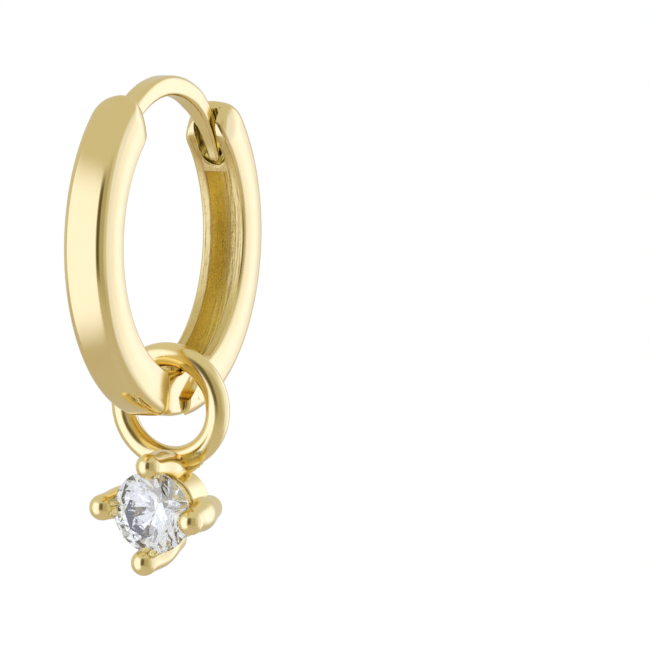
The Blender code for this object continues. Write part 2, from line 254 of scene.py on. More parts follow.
def polished_gold(name, tint, warm, smooth, rough, ripple):
    """Gold whose polish varies slowly, with wiping marks that are too fine to see one by one."""
    gold = Finish(name, Metallic=1.0)
    cloud = gold.noise(0.9, gold.place(), detail=3)
    wiping = gold.noise(5, gold.place(stretch=(1, 6, 6)), detail=4, roughness=0.7)
    waves = gold.noise(1.1, gold.place(), detail=1)
    grain = gold.noise(38, gold.place(), detail=2)
    return gold.finish(
        Base_Color=gold.mix(cloud * 0.5, tint, warm),
        Roughness=smooth + (rough - smooth) * (cloud * 0.4 + wiping * 0.6),
        Normal=gold.bump(waves * 0.8 + grain * 0.02, strength=0.5, depth_mm=ripple),
    )


def milled_gold(name, painted_shade):
    """The unpolished inside, with streaks left by the cutter along its length and specks between them,
    darkened evenly by a share of painted shade.
    """
    gold = Finish(name, Metallic=1.0)
    along = gold.place(stretch=(1, 0.06, 0.06))
    lines = gold.noise(7, along, detail=3, roughness=0.6)
    streaks = gold.ramp(gold.noise(4.5, along, detail=2), 0.50, 0.66)
    grain = gold.noise(6, gold.place(), detail=4, roughness=0.65)
    specks = gold.ramp(gold.noise(11, gold.place(), detail=1), 0.62, 0.74)
    # Stains from the streaks and specks, plus an even share of painted shade.
    stain_and_shade = (streaks * 0.55 + specks * 0.4 + painted_shade).clamped()
    return gold.finish(
        Base_Color=gold.mix(stain_and_shade, gold.mix(grain, GOLD, GOLD_YELLOW), GOLD_STAIN_AND_SHADE),
        Roughness=0.20 + grain * 0.16 + stain_and_shade * 0.10,
        Normal=gold.bump(lines * 1.4 + grain * 0.2, strength=0.9, depth_mm=0.05),
    )


band_gold = polished_gold("polished_band_gold", GOLD, GOLD_WARM, smooth=0.07, rough=0.17, ripple=0.010)
drop_gold = polished_gold("tumbled_drop_gold", GOLD_PALE, GOLD_WARM, smooth=0.11, rough=0.24, ripple=0.030)
channel_gold = milled_gold("milled_channel_gold", painted_shade=0.0)
# The rims carry painted shade: they are painted darker, as if the front half kept the light from them.
shaded_rim_gold = milled_gold("rim_gold_with_painted_shade", painted_shade=0.45)
# The slot's gold is painted brighter, as painted light in place of the light that the deep slot lacks.
slot_gold_painted_light = polished_gold("slot_gold_painted_bright", GOLD_PAINTED_LIGHT, GOLD_YELLOW, smooth=0.10, rough=0.25, ripple=0.030)
print("gold finishes", [m.name for m in (band_gold, drop_gold, channel_gold, shaded_rim_gold, slot_gold_painted_light)])

# %% [markdown]
# ## Stone
#
# The stone is clear and colourless, with a far higher refractive index than glass. That index is what
# throws light back out of the crown, so it is the number that matters most. Our lights are a little cool.
# So the mirror of its facets has a warm tint, which makes what they reflect neutral again.

# %% Crystal finish
STONE_INDEX = 2.16
STONE_CLEARNESS = 0.94
STONE_COLOUR = (0.97, 0.99, 0.985, 1)
STONE_MIRROR = (1.0, 0.94, 0.70, 1)

crystal = Finish(
    "clear_crystal", IOR=STONE_INDEX, Transmission_Weight=STONE_CLEARNESS, Roughness=0.0,
    Base_Color=STONE_COLOUR, Specular_Tint=STONE_MIRROR,
).material
print(crystal.name, "with a refractive index of", STONE_INDEX)

# %% [markdown]
# ## Working by hand in code
#
# The helpers below do what the mouse would. They begin a piece from a primitive, pick parts of it by their
# place, draw its end face on round an axis, cut it with a plane or with another piece, and complete it. An
# operator acts on everything that is selected, so each piece starts with nothing selected.

# %% Begin, hold and pick
def settle():
    """Makes the active piece's place, turn and size part of its mesh."""
    bpy.ops.object.transform_apply(location=True, rotation=True, scale=True)


def begin(name, size=None):
    """Names the primitive that was just added, gives it a size and settles it."""
    piece = bpy.context.object
    piece.name = piece.data.name = name
    if size:
        piece.scale = size
    settle()
    return piece


def rest_tools():
    """Object mode, with nothing selected."""
    if bpy.context.mode != "OBJECT":
        bpy.ops.object.mode_set(mode="OBJECT")
    bpy.ops.object.select_all(action="DESELECT")


def hold(piece):
    """Only this piece is selected and active."""
    rest_tools()
    piece.select_set(True)
    bpy.context.view_layer.objects.active = piece


def middle(part):
    """The middle of a vertex, an edge or a face."""
    if isinstance(part, bmesh.types.BMVert):
        return part.co
    if isinstance(part, bmesh.types.BMEdge):
        return (part.verts[0].co + part.verts[1].co) / 2
    return part.calc_center_median()


def pick(piece, kind, wanted=lambda part: True):
    """In edit mode, selects the vertices, edges or faces that are wanted, and says how many."""
    if bpy.context.mode != "EDIT_MESH" or bpy.context.object != piece:
        hold(piece)
        bpy.ops.object.mode_set(mode="EDIT")
    bpy.ops.mesh.select_mode(type=kind)
    bpy.ops.mesh.select_all(action="DESELECT")
    mesh = bmesh.from_edit_mesh(piece.data)
    parts = {"VERT": mesh.verts, "EDGE": mesh.edges, "FACE": mesh.faces}[kind]
    for part in parts:
        part.select_set(bool(wanted(part)))
    mesh.select_flush_mode()
    bmesh.update_edit_mesh(piece.data)
    return sum(part.select for part in parts)


rest_tools()
print("mode", bpy.context.mode, "with", len(bpy.context.selected_objects), "pieces selected")


# %% Draw on, turn and bevel
def softly(reach, falloff="SMOOTH"):
    """Settings with which a move or a resize fades out over a distance, as soft selection does."""
    return {"use_proportional_edit": True, "proportional_edit_falloff": falloff, "proportional_size": reach}


def extrude(move=(0, 0, 0)):
    """Extrudes what is selected, by a move."""
    bpy.ops.mesh.extrude_region_move(TRANSFORM_OT_translate={"value": tuple(move)})


def resize(factors, about=(0, 0, 0), **soft):
    """Scales what is selected about a point."""
    bpy.ops.transform.resize(value=factors, center_override=tuple(about), **soft)


def turn_selected(angle, about=(0, 0, 0)):
    """Turns what is selected round an axis along X."""
    bpy.ops.transform.rotate(
        value=angle, orient_axis="X", orient_type="GLOBAL", center_override=tuple(about)
    )


def turn_on(angle, about, wide, thick, still):
    """Extrudes the selected end face round an axis, and draws it in about a point that stays still."""
    extrude()
    turn_selected(angle, about)
    resize((wide, thick, thick), still)


def bevel_edges(piece, wanted, width, steps):
    """Bevels the edges that are wanted, and says how many."""
    count = pick(piece, "EDGE", wanted)
    bpy.ops.mesh.bevel(offset=width, segments=steps, affect="EDGES")
    return count


print("soft selection is", softly(1))

# %% Carve, cut and complete
DOUBLE, CUT_EXACT = 1e-4, 1e-5
SMOOTH_ANGLE = radians(35)
INTO_FRAME = Matrix.Diagonal((1 / METRE,) * 3).to_4x4() @ Matrix.Translation(HOOP_CENTRE)


def modify(piece, kind, **settings):
    """Adds a modifier and applies it."""
    hold(piece)
    modifier = piece.modifiers.new(kind.lower(), kind)
    for name, value in settings.items():
        setattr(modifier, name, value)
    bpy.ops.object.modifier_apply(modifier=modifier.name)


def carve(piece, cutter, operation="DIFFERENCE"):
    """Cuts a piece with another, or joins the other to it, and throws the other away."""
    finishes = "TRANSFER" if cutter.data.materials else "INDEX"
    modify(piece, "BOOLEAN", object=cutter, operation=operation, solver="EXACT", material_mode=finishes)
    bpy.data.objects.remove(cutter)


def bisect(piece, at, normal):
    """Cuts off what lies beyond a plane, closes the piece, and leaves the new face selected."""
    pick(piece, "FACE")
    bpy.ops.mesh.bisect(
        plane_co=tuple(at), plane_no=tuple(normal), use_fill=True, clear_outer=True, threshold=CUT_EXACT
    )


def close_up(piece):
    """Merges stray doubles and turns every face outwards."""
    pick(piece, "VERT")
    bpy.ops.mesh.remove_doubles(threshold=DOUBLE)
    bpy.ops.mesh.normals_make_consistent(inside=False)
    bpy.ops.object.mode_set(mode="OBJECT")


def report(piece):
    """Rests the tools, and prints how fine and how large a piece has become."""
    rest_tools()
    print(piece.name, len(piece.data.polygons), "faces, size", rounded(piece.dimensions))


def complete(piece, material, body, node, smooth=SMOOTH_ANGLE, place=Matrix()):
    """Shades a piece, brings it into the frame in metres, hangs it on its body and hides the model's part
    that it stands for.
    """
    close_up(piece)
    hold(piece)
    if smooth:
        bpy.ops.object.shade_smooth_by_angle(angle=smooth)
        modify(piece, "WEIGHTED_NORMAL", keep_sharp=True)
    piece.matrix_world = INTO_FRAME @ place
    hold(piece)
    settle()
    if not piece.data.materials:
        piece.data.materials.append(material)
    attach(piece, body)
    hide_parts(node)
    print(piece.name, len(piece.data.polygons), "faces")


print("a finished piece is shrunk by", METRE)

# %% [markdown]
# ## The band's section
#
# Both halves are bent from one bar. Its sides swell very slightly, its outer face is barely crowned, with
# generous rounded edges, and its inner face has tight ones. We could draw it point by point, but a plane
# whose corners are bevelled gives true arcs. For the crown and the swell, a straight edge is cut up and
# its middle is moved with soft selection.

# %% Draw the section at the top of the hoop
OUTER_FILLET = 0.45
INNER_FILLET = 0.18
CROWN = 0.06
SIDE_SWELL = 0.045
EDGE_CUTS = 7


def bar_section(name, width, thickness, radius, outer, inner, steps=8):
    """A flat section across X at the top of a circle, standing on its inner radius."""
    rest_tools()
    height = radius + thickness / 2
    bpy.ops.mesh.primitive_plane_add(size=1, rotation=(pi / 2, 0, 0))
    bpy.context.object.location = (0, 0, height)
    piece = begin(name, (width, thickness, 1))
    for above, fillet in ((True, outer), (False, inner)):
        pick(piece, "VERT", lambda vertex: (vertex.co.z > height) == above)
        bpy.ops.mesh.bevel(
            offset=fillet, offset_type="ABSOLUTE", segments=steps, affect="VERTICES", clamp_overlap=False
        )
    return piece


def crown_section(piece):
    """Cuts the long outer edge, lifts its middle and lowers the whole outer side by as much."""
    on_top = HOOP_RADIUS - HAIR
    pick(piece, "EDGE", lambda edge: middle(edge).z > on_top)
    bpy.ops.mesh.subdivide(number_cuts=EDGE_CUTS)
    pick(piece, "VERT", lambda vertex: vertex.co.z > on_top and abs(vertex.co.x) < HAIR)
    bpy.ops.transform.translate(value=(0, 0, CROWN), **softly(BAND_WIDTH / 2, "INVERSE_SQUARE"))
    pick(piece, "VERT", lambda vertex: vertex.co.z > MIDDLE_RADIUS)
    bpy.ops.transform.translate(value=(0, 0, -CROWN))


def swell_sides(piece):
    """Cuts both straight sides, pushes their middles out, and brings the whole width back."""
    half = BAND_WIDTH / 2
    for side in (-1, 1):
        pick(piece, "EDGE", lambda edge: middle(edge).x * side > half - HAIR)
        bpy.ops.mesh.subdivide(number_cuts=EDGE_CUTS)
    low, high = INNER_RADIUS + INNER_FILLET, HOOP_RADIUS - OUTER_FILLET - CROWN
    centre = (0, 0, (low + high) / 2)
    pick(piece, "VERT", lambda vertex: abs(vertex.co.x) > half - HAIR and abs(vertex.co.z - centre[2]) < NEAR)
    resize((1 + SIDE_SWELL / half, 1, 1), centre, **softly((high - low) / 2, "INVERSE_SQUARE"))
    pick(piece, "VERT")
    resize((half / (half + SIDE_SWELL), 1, 1), centre)


def band_section(name):
    piece = bar_section(name, BAND_WIDTH, BAND_THICKNESS, INNER_RADIUS, OUTER_FILLET, INNER_FILLET)
    crown_section(piece)
    swell_sides(piece)
    return piece


print("the bar is", BAND_WIDTH, "by", BAND_THICKNESS, "mm")

# %% [markdown]
# ## Bending and rounding
#
# A bar is bent by spinning its section round the centre of the hoop. Its ends were tumbled, so they have
# no sharp rim. We round an end by drawing it on for a millimetre in twelve small steps, which are drawn in
# along a quarter circle and turn rounder as they go. That leaves even rings of faces for the highlight to
# run over.

# %% Bend a section and round its end
END_DEPTH, END_SIDE, END_FACE = 1.00, 0.55, 0.60
END_ROUNDNESS = 0.30
END_CORNERS = 12
BEND_STEP = radians(2)


def on_hoop(turn, radius=MIDDLE_RADIUS):
    """A point in the hoop's plane, by its turn from the top towards the back."""
    return Vector((0, radius * sin(turn), radius * cos(turn)))


def swing_section(piece, turn):
    """Carries a section from the top of the hoop to where its bar starts."""
    pick(piece, "FACE")
    turn_selected(turn)


def spin_on(turn, about=(0, 0, 0), step=BEND_STEP):
    """Spins the selected face round an axis along X."""
    bpy.ops.mesh.spin(steps=max(2, round(abs(turn) / step)), angle=turn, center=tuple(about), axis=(1, 0, 0))


def is_end(face):
    """Whether a face is a bar's flat end, which has more corners than the faces along it."""
    return len(face.verts) > END_CORNERS


def pick_end(piece, near):
    """Selects the flat end that lies near a point."""
    pick(piece, "FACE", lambda face: is_end(face) and (middle(face) - near).length < BAND_THICKNESS / 2)


def soften_end(turn, side, higher=0.0, steps=12):
    """Rounds the selected end off: it goes on round the hoop, is drawn in, and turns rounder."""
    wide, thick, gone = 1.0, 1.0, 0.0
    for i in range(1, steps + 1):
        bend = pi / 2 * i / steps
        step = side * END_DEPTH * (sin(bend) - gone) / MIDDLE_RADIUS
        turn += step
        new_wide = 1 - 2 * END_SIDE * (1 - cos(bend)) / BAND_WIDTH
        new_thick = 1 - 2 * END_FACE * (1 - cos(bend)) / BAND_THICKNESS
        still = on_hoop(turn, MIDDLE_RADIUS + higher)
        turn_on(step, (0, 0, 0), new_wide / wide, new_thick / thick, still)
        bpy.ops.transform.tosphere(value=END_ROUNDNESS * (i / steps) ** 2)
        wide, thick, gone = new_wide, new_thick, sin(bend)


print("an end is rounded over", END_DEPTH, "mm")

# %% [markdown]
# ## Front half
#
# The front half is a bent bar whose top end is softly rounded. At the bottom it stops at an upright
# shoulder, from which a narrow tongue goes on into the hinge. The shoulder's inner corner is rounder than
# its other edges, as the polishing wheel left it. We spin the bar too far, cut it upright with a plane and
# draw the cut face out again in small steps, in which that corner shrinks most.

# %% Bend the front bar and cut its shoulder
FRONT_END = radians(31.5)
FRONT_OVERRUN = radians(172)
FRONT_HIGH = 0.50
SHOULDER = -1.40
SHOULDER_ROUNDING = 0.07
CORNER_ROUNDING, CORNER_DEPTH = 0.30, 0.26


def quarter(distance, depth, drawn):
    """How far a rounded rim is drawn in at a distance from its end."""
    short = max(0, 1 - distance / depth)
    return drawn * (1 - sqrt(1 - short**2))


def soften_shoulder(steps=12):
    """Rounds the selected upright face: far at its inner edge and little elsewhere."""
    inner = -sqrt(INNER_RADIUS**2 - SHOULDER**2)
    outer = -sqrt(HOOP_RADIUS**2 - SHOULDER**2)
    wide, high, low, left = 1.0, inner, outer, CORNER_DEPTH
    for i in range(1, steps + 1):
        distance = CORNER_DEPTH * (1 - sin(pi / 2 * i / steps))
        rim = quarter(distance, SHOULDER_ROUNDING, SHOULDER_ROUNDING)
        new_wide = 1 - 2 * rim / BAND_WIDTH
        new_high, new_low = inner - quarter(distance, CORNER_DEPTH, CORNER_ROUNDING), outer + rim
        thinner = (new_high - new_low) / (high - low)
        still = (new_high - thinner * high) / (1 - thinner)
        extrude((0, left - distance, 0))
        resize((new_wide / wide, 1, thinner), (0, SHOULDER, still))
        wide, high, low, left = new_wide, new_high, new_low, distance


def front_bar():
    bar = band_section("front_band")
    start = -FRONT_END - END_DEPTH / MIDDLE_RADIUS
    swing_section(bar, start)
    spin_on(-FRONT_OVERRUN - start)
    close_up(bar)
    pick_end(bar, on_hoop(start))
    soften_end(start, 1, FRONT_HIGH)
    cut = SHOULDER - CORNER_DEPTH
    bisect(bar, (0, cut, 0), (0, 1, 0))
    pick(bar, "FACE", lambda face: is_end(face) and middle(face).y > cut - HAIR)
    soften_shoulder()
    close_up(bar)
    return bar


front = front_bar()
report(front)

# %% [markdown]
# ## Ear post
#
# The post goes through the ear. It is a slimmer bar with softened edges, which rises from the front half,
# arches over and dives into the catch. It is bent to two radii that meet at the crest, so we spin it one
# way and draw it out the other way from there. Past the top it is filed thinner and narrower towards a
# rounded tip, which is why that side is drawn out step by step.

# %% Bend the ear post
POST_WIDTH, POST_THICKNESS, POST_FILLET = 0.86, 0.80, 0.22
TIP_WIDTH, TIP_THICKNESS = 0.44, 0.50
TIP_SIDE, TIP_FACE, TIP_DEPTH, TIP_OVERLAP = 0.20, 0.16, 0.24, 0.25
POST_CREST = 5.64
FRONT_BEND, BACK_BEND = 5.45, 4.90
POST_ROOT, TAPER_START, POST_TIP = radians(47.4), radians(30), radians(67)
BEND_STEPS, TAPER_STEPS, TIP_STEPS = 14, 16, 8


def draw_out_post(centre):
    """Extrudes the crest's face to the tip, with its width and thickness along the way."""
    stations = [
        (TAPER_START * i / BEND_STEPS, POST_WIDTH, POST_THICKNESS) for i in range(1, BEND_STEPS + 1)
    ]
    for i in range(1, TAPER_STEPS):
        share = i / TAPER_STEPS
        turn = TAPER_START + (POST_TIP - TAPER_START) * share
        wide = POST_WIDTH + (TIP_WIDTH - POST_WIDTH) * share
        stations.append((turn, wide, POST_THICKNESS + (TIP_THICKNESS - POST_THICKNESS) * share))
    for i in range(1, TIP_STEPS + 1):
        bend = pi / 2 * i / TIP_STEPS
        drawn = 2 * (1 - cos(bend))
        turn = POST_TIP + TIP_DEPTH * (sin(bend) - TIP_OVERLAP) / BACK_BEND
        stations.append((turn, TIP_WIDTH - TIP_SIDE * drawn, TIP_THICKNESS - TIP_FACE * drawn))
    at, wide, thick = 0.0, POST_WIDTH, POST_THICKNESS
    for turn, new_wide, new_thick in stations:
        spot = centre + BACK_BEND * Vector((0, sin(turn), cos(turn)))
        turn_on(turn - at, centre, new_wide / wide, new_thick / thick, spot)
        at, wide, thick = turn, new_wide, new_thick


def post_piece():
    middle_height = POST_CREST + POST_THICKNESS / 2
    post = bar_section(
        "ear_post", POST_WIDTH, POST_THICKNESS, POST_CREST, POST_FILLET, POST_FILLET, steps=5
    )
    pick(post, "FACE")
    spin_on(-POST_ROOT, (0, 0, middle_height - FRONT_BEND))
    close_up(post)
    pick_end(post, Vector((0, 0, middle_height)))
    draw_out_post(Vector((0, 0, middle_height - BACK_BEND)))
    close_up(post)
    return post


post = post_piece()
report(post)

# %% [markdown]
# ## Tongue and pin hole
#
# The tongue is a rounded plate that fills the mouth between the back half's cheeks and turns on the pin.
# It is wider than the channel, so the cheeks are thinned where it lies. We spin a rounded section, cut it
# flat on top, where the hanging ring lies, and bevel the two long edges of that cut. A rounded disc makes
# its end about the pin, and the hole is drilled last.

# %% Make the tongue and join the front half
TONGUE_WIDTH = 1.46
TONGUE_BOTTOM = 6.90
TONGUE_TOP = -5.10
TONGUE_HEIGHT = 1.90
TONGUE_END = 0.76
TONGUE_START = -2.07
TONGUE_ROUNDING = 0.25
TONGUE_STEPS = 6
PLATE_CORNER = 0.05
PLATE_REACH = 0.8
PIN_RADIUS = 0.28
PIN_PLAY = 0.03


def rod(name, centre, radius, length, sides=64):
    """A round rod along the hinge's axis."""
    rest_tools()
    bpy.ops.mesh.primitive_cylinder_add(
        vertices=sides, radius=radius, depth=length, location=tuple(centre), rotation=(0, pi / 2, 0)
    )
    return begin(name)


def tongue_piece():
    """A rounded plate, spun, cut flat on top, and joined to a rounded disc about the pin."""
    plate = bar_section(
        "tongue", TONGUE_WIDTH, TONGUE_HEIGHT, TONGUE_BOTTOM - TONGUE_HEIGHT,
        TONGUE_ROUNDING, PLATE_CORNER, TONGUE_STEPS,
    )
    front_turn = asin(-TONGUE_START / TONGUE_BOTTOM)
    swing_section(plate, pi + front_turn)
    spin_on(-front_turn - asin(PLATE_REACH * PIN.y / TONGUE_BOTTOM))
    close_up(plate)
    bisect(plate, (0, 0, TONGUE_TOP), (0, 0, 1))
    side, top = TONGUE_WIDTH / 2 - HAIR, TONGUE_TOP - HAIR
    disc = rod("tongue_end", PIN, TONGUE_END, TONGUE_WIDTH)
    for piece, lowest in ((plate, top), (disc, -HOOP_RADIUS)):
        bevel_edges(
            piece, lambda edge: abs(middle(edge).x) > side and middle(edge).z > lowest,
            TONGUE_ROUNDING, TONGUE_STEPS,
        )
        close_up(piece)
    carve(plate, disc, "UNION")
    carve(plate, rod("tongue_hole", PIN, PIN_RADIUS + PIN_PLAY, 2 * BAND_WIDTH))
    return plate


carve(front, post, "UNION")
carve(front, tongue_piece(), "UNION")
complete(front, band_gold, "front", "front_half")

# %% [markdown]
# ## Back half
#
# The back half is bent from the same bar, but it is hollowed: a square channel is milled along its inner
# face, from the catch to the hinge. Because the bar's rings run square to the channel, we need no Boolean
# for it. The section gets two extra points on its inner edge. Once it is spun, the strip of faces between
# their lines is pushed out from the centre of the hoop, and the channel's rim is bevelled. Where the lines
# run on towards the catch they are dissolved again. The nose at the hinge is rounded in rings at the end.

# %% Find parts of the back bar
BACK_END = radians(38.5)
BACK_OVERRUN = radians(181)
CHANNEL_START = radians(63)
CHANNEL_HALF = 0.52
CHANNEL_FLOOR = 6.25
CHANNEL_RIM = 0.06
CHEEK_NOSE = 0.25
NOSE_ROUNDING = 0.20
RIM_STEPS = 3
SHARP = radians(30)
NEAR_TURN = 0.02


def turn_of(place):
    """How far round the hoop a point lies, from the top towards the back."""
    return atan2(place.y, place.z) % (2 * pi)


def radius_of(place):
    """How far from the hoop's axis a point lies."""
    return hypot(place.y, place.z)


def on_inner_face(place):
    return abs(radius_of(place) - INNER_RADIUS) < NEAR


def in_strip(face):
    """The faces between the two extra lines, from the start of the channel on."""
    place = middle(face)
    return on_inner_face(place) and abs(place.x) < CHANNEL_HALF and turn_of(place) > CHANNEL_START


def on_channel_rim(edge):
    """The sharp edges between the inner face and the channel."""
    place = middle(edge)
    return on_inner_face(place) and abs(place.x) < CHANNEL_HALF + NEAR and edge.calc_face_angle(0) > SHARP


def on_spare_line(edge):
    """Edges that carry on the channel's two lines towards the catch, where nothing needs them."""
    place = middle(edge)
    on_line = abs(abs(place.x) - CHANNEL_HALF) < HAIR
    return on_line and radius_of(place) < INNER_RADIUS + NEAR and turn_of(place) < CHANNEL_START


print("the channel is", 2 * CHANNEL_HALF, "mm wide and", CHANNEL_FLOOR - INNER_RADIUS, "mm deep")


# %% Bend the back bar and mill its channel
def widen_inner_points(piece, cuts=2):
    """Two points on the section's inner edge, where the channel's sides will stand."""
    on_inner = INNER_RADIUS + HAIR
    pick(piece, "EDGE", lambda edge: middle(edge).z < on_inner and abs(middle(edge).x) < HAIR)
    bpy.ops.mesh.subdivide(number_cuts=cuts)
    half = BAND_WIDTH / 2
    reach = (half - INNER_FILLET) / (cuts + 1) * half / (half + SIDE_SWELL)
    pick(piece, "VERT", lambda vertex: vertex.co.z < on_inner and abs(vertex.co.x) < reach + NEAR)
    resize((CHANNEL_HALF / reach, 1, 1))


def soften_nose(steps=8):
    """Rounds the selected upright face, whose two sides are drawn in along a quarter circle."""
    wide, left = 1.0, NOSE_ROUNDING
    for i in range(1, steps + 1):
        distance = NOSE_ROUNDING * (1 - sin(pi / 2 * i / steps))
        new_wide = 1 - 2 * quarter(distance, NOSE_ROUNDING, NOSE_ROUNDING) / BAND_WIDTH
        extrude((0, distance - left, 0))
        resize((new_wide / wide, 1, 1))
        wide, left = new_wide, distance


def back_bar():
    bar = band_section("back_band")
    widen_inner_points(bar)
    start = BACK_END + END_DEPTH / MIDDLE_RADIUS
    steps = round((CHANNEL_START - start) / BEND_STEP)
    step = (CHANNEL_START - start) / steps
    length = ceil((BACK_OVERRUN - start) / step) * step
    swing_section(bar, start)
    spin_on(length, step=step)
    close_up(bar)
    pick(bar, "FACE", in_strip)
    extrude()
    deeper = CHANNEL_FLOOR / INNER_RADIUS
    resize((1, deeper, deeper))
    print("channel rim edges", bevel_edges(bar, on_channel_rim, CHANNEL_RIM, RIM_STEPS))
    pick_end(bar, on_hoop(start))
    soften_end(start, -1)
    print("spare line edges", pick(bar, "EDGE", on_spare_line))
    bpy.ops.mesh.loop_multi_select(ring=False)
    bpy.ops.mesh.dissolve_edges(use_verts=True)
    cut = CHEEK_NOSE + NOSE_ROUNDING
    bisect(bar, (0, cut, 0), (0, -1, 0))
    pick(bar, "FACE", lambda face: is_end(face) and middle(face).y < cut + HAIR)
    soften_nose()
    close_up(bar)
    return bar


back = back_bar()
report(back)

# %% [markdown]
# ## Catch and hinge
#
# At the top a U-shaped slot takes the tip of the ear post. At the bottom the mouth is sawn out, which thins
# the channel's walls to two cheeks for the pin, and their noses are filed to a slope so that the ring can
# lie on the tongue. A saw and a file take away simple shapes, so here Boolean cuts are the honest way. The
# slot's cutter wears the slot's finish, which the Boolean hands over. Only the slot's lip is bevelled
# afterwards, because it is the one cut edge that catches the light.

# %% Shape the slot's cutter
SLOT_TURN = radians(52)
SLOT_HALF = 0.48
SLOT_FLOOR = 5.85
SLOT_DROP = 0.90
SLOT_GAP = 0.10
SLOT_RUN = 4
SPARE_HEIGHT = 1


def slot_cutter():
    """A round mill that is drawn out through the end of the back half, deeper and deeper."""
    turn = SLOT_TURN
    out, along = on_hoop(turn, 1), on_hoop(turn - pi / 2, 1)
    tip_turn = POST_TIP + TIP_DEPTH / BACK_BEND
    height = POST_CREST + POST_THICKNESS / 2 - BACK_BEND
    tip = Vector((0, BACK_BEND * sin(tip_turn), height + BACK_BEND * cos(tip_turn)))
    bottom = tip.dot(along) - SLOT_GAP + SLOT_HALF
    low, high = INNER_RADIUS - SPARE_HEIGHT, SLOT_FLOOR
    rest_tools()
    bpy.ops.mesh.primitive_cylinder_add(
        vertices=48, radius=SLOT_HALF, depth=high - low, rotation=(-turn, 0, 0)
    )
    bpy.context.object.location = along * bottom + out * (low + high) / 2
    cutter = begin("slot_cutter")
    pick(cutter, "FACE", lambda face: len(face.verts) == 4 and face.normal.dot(along) > HAIR)
    extrude(along * SLOT_RUN)
    far = bottom + SLOT_RUN / 2
    pick(cutter, "VERT", lambda vertex: vertex.co.dot(out) > high - NEAR and vertex.co.dot(along) > far)
    bpy.ops.transform.translate(value=tuple(out * SLOT_DROP))
    close_up(cutter)
    # The cutter carries the slot's gold, painted brighter as painted light.
    cutter.data.materials.append(slot_gold_painted_light)
    return cutter


print("the post's tip stands", SLOT_GAP, "mm from the slot's end")


# %% Shape the hinge's cutters
MOUTH_START, MOUTH_END = -2, 2.19
MOUTH_MIDDLE, MOUTH_TALL = -6, 5
MOUTH_PLAY = 0.005
NOSE_HEIGHT = 0.65
NOSE_SLOPE = radians(40)
SLOPE_SIZE, SLOPE_AHEAD = (3, 5.4, 2), 0.9


def block(name, centre, size, turn=0.0):
    """A cutter with flat sides, turned about X."""
    rest_tools()
    bpy.ops.mesh.primitive_cube_add(size=1)
    cutter = begin(name, size)
    cutter.rotation_euler = (turn, 0, 0)
    cutter.location = centre
    settle()
    return cutter


def mouth_cutter():
    """A block as wide as the tongue and a little play, through the whole thickness of the band."""
    centre = (0, (MOUTH_START + MOUTH_END) / 2, MOUTH_MIDDLE)
    wide = 2 * (TONGUE_WIDTH / 2 + MOUTH_PLAY)
    return block("mouth_cutter", centre, (wide, MOUTH_END - MOUTH_START, MOUTH_TALL))


def slope_cutter():
    """A block whose underside is the slope of the cheeks' noses."""
    nose = Vector((0, CHEEK_NOSE, NOSE_HEIGHT - HOOP_RADIUS))
    along = Vector((0, cos(NOSE_SLOPE), sin(NOSE_SLOPE)))
    above = Vector((0, -sin(NOSE_SLOPE), cos(NOSE_SLOPE)))
    centre = nose + along * SLOPE_AHEAD + above * SLOPE_SIZE[2] / 2
    return block("slope_cutter", centre, SLOPE_SIZE, NOSE_SLOPE)


print("the mouth leaves", BAND_WIDTH / 2 - TONGUE_WIDTH / 2 - MOUTH_PLAY, "mm of each cheek")

# %% Cut the slot, the hinge mouth and the cheeks
SLOT_LIP = 0.10
LIP_START = radians(53.4)
PIN_FIT = 0.004


def on_lip(edge):
    """The slot's rim, round its closed end and as far as the bar keeps its full thickness."""
    place = middle(edge)
    flush = all(on_inner_face(vertex.co) for vertex in edge.verts)
    near = abs(place.x) < SLOT_HALF + NEAR and LIP_START < turn_of(place) < CHANNEL_START - NEAR_TURN
    return flush and near and edge.calc_face_angle(0) > SHARP


back.data.materials.append(band_gold)
for cutter in (slot_cutter, mouth_cutter, slope_cutter):
    carve(back, cutter())
carve(back, rod("cheek_holes", PIN, PIN_RADIUS + PIN_FIT, 2 * BAND_WIDTH))
print("lip edges", bevel_edges(back, on_lip, SLOT_LIP, RIM_STEPS))
report(back)

# %% [markdown]
# ## Finishes inside the back half
#
# The polishing wheel doesn't reach the channel's floor and walls. The rims beside them get the same marks,
# and painted shade darkens them as if the front half kept the light from them. We could split the piece up,
# but each face of a mesh may wear a material of its own. So we pick those faces by their place and give
# them their own finish.

# %% Give the inside its own finishes
RIM_REACH = 0.1


def in_channel(face):
    """The channel's floor and walls, below its bevelled rim."""
    place = middle(face)
    deep = INNER_RADIUS + CHANNEL_RIM < radius_of(place) < CHANNEL_FLOOR + NEAR
    return deep and abs(place.x) < CHANNEL_HALF + NEAR and turn_of(place) > CHANNEL_START - NEAR_TURN


def on_inner_rim(face):
    """The inner face beside the slot and the channel, but not the slot, which took its cutter's finish."""
    place = middle(face)
    inner = radius_of(place) < INNER_RADIUS + RIM_REACH and abs(place.x) < BAND_WIDTH / 2 - INNER_FILLET
    return inner and turn_of(place) > BACK_END and face.material_index == 0


for finish, wanted in ((shaded_rim_gold, on_inner_rim), (channel_gold, in_channel)):
    back.data.materials.append(finish)
    print(finish.name, "on", pick(back, "FACE", wanted), "faces")
    back.active_material_index = len(back.data.materials) - 1
    bpy.ops.object.material_slot_assign()
rest_tools()
complete(back, band_gold, "back", "back_half")

# %% [markdown]
# ## Hinge pin
#
# The pin is pressed through both cheeks and filed flush, so that it all but disappears. It starts as a
# cylinder, and its two rims are bevelled to give the hairline that one sees under a loupe.

# %% Make the hinge pin
PIN_SUNK = 0.01
PIN_BEVEL, PIN_STEPS = 0.015, 2

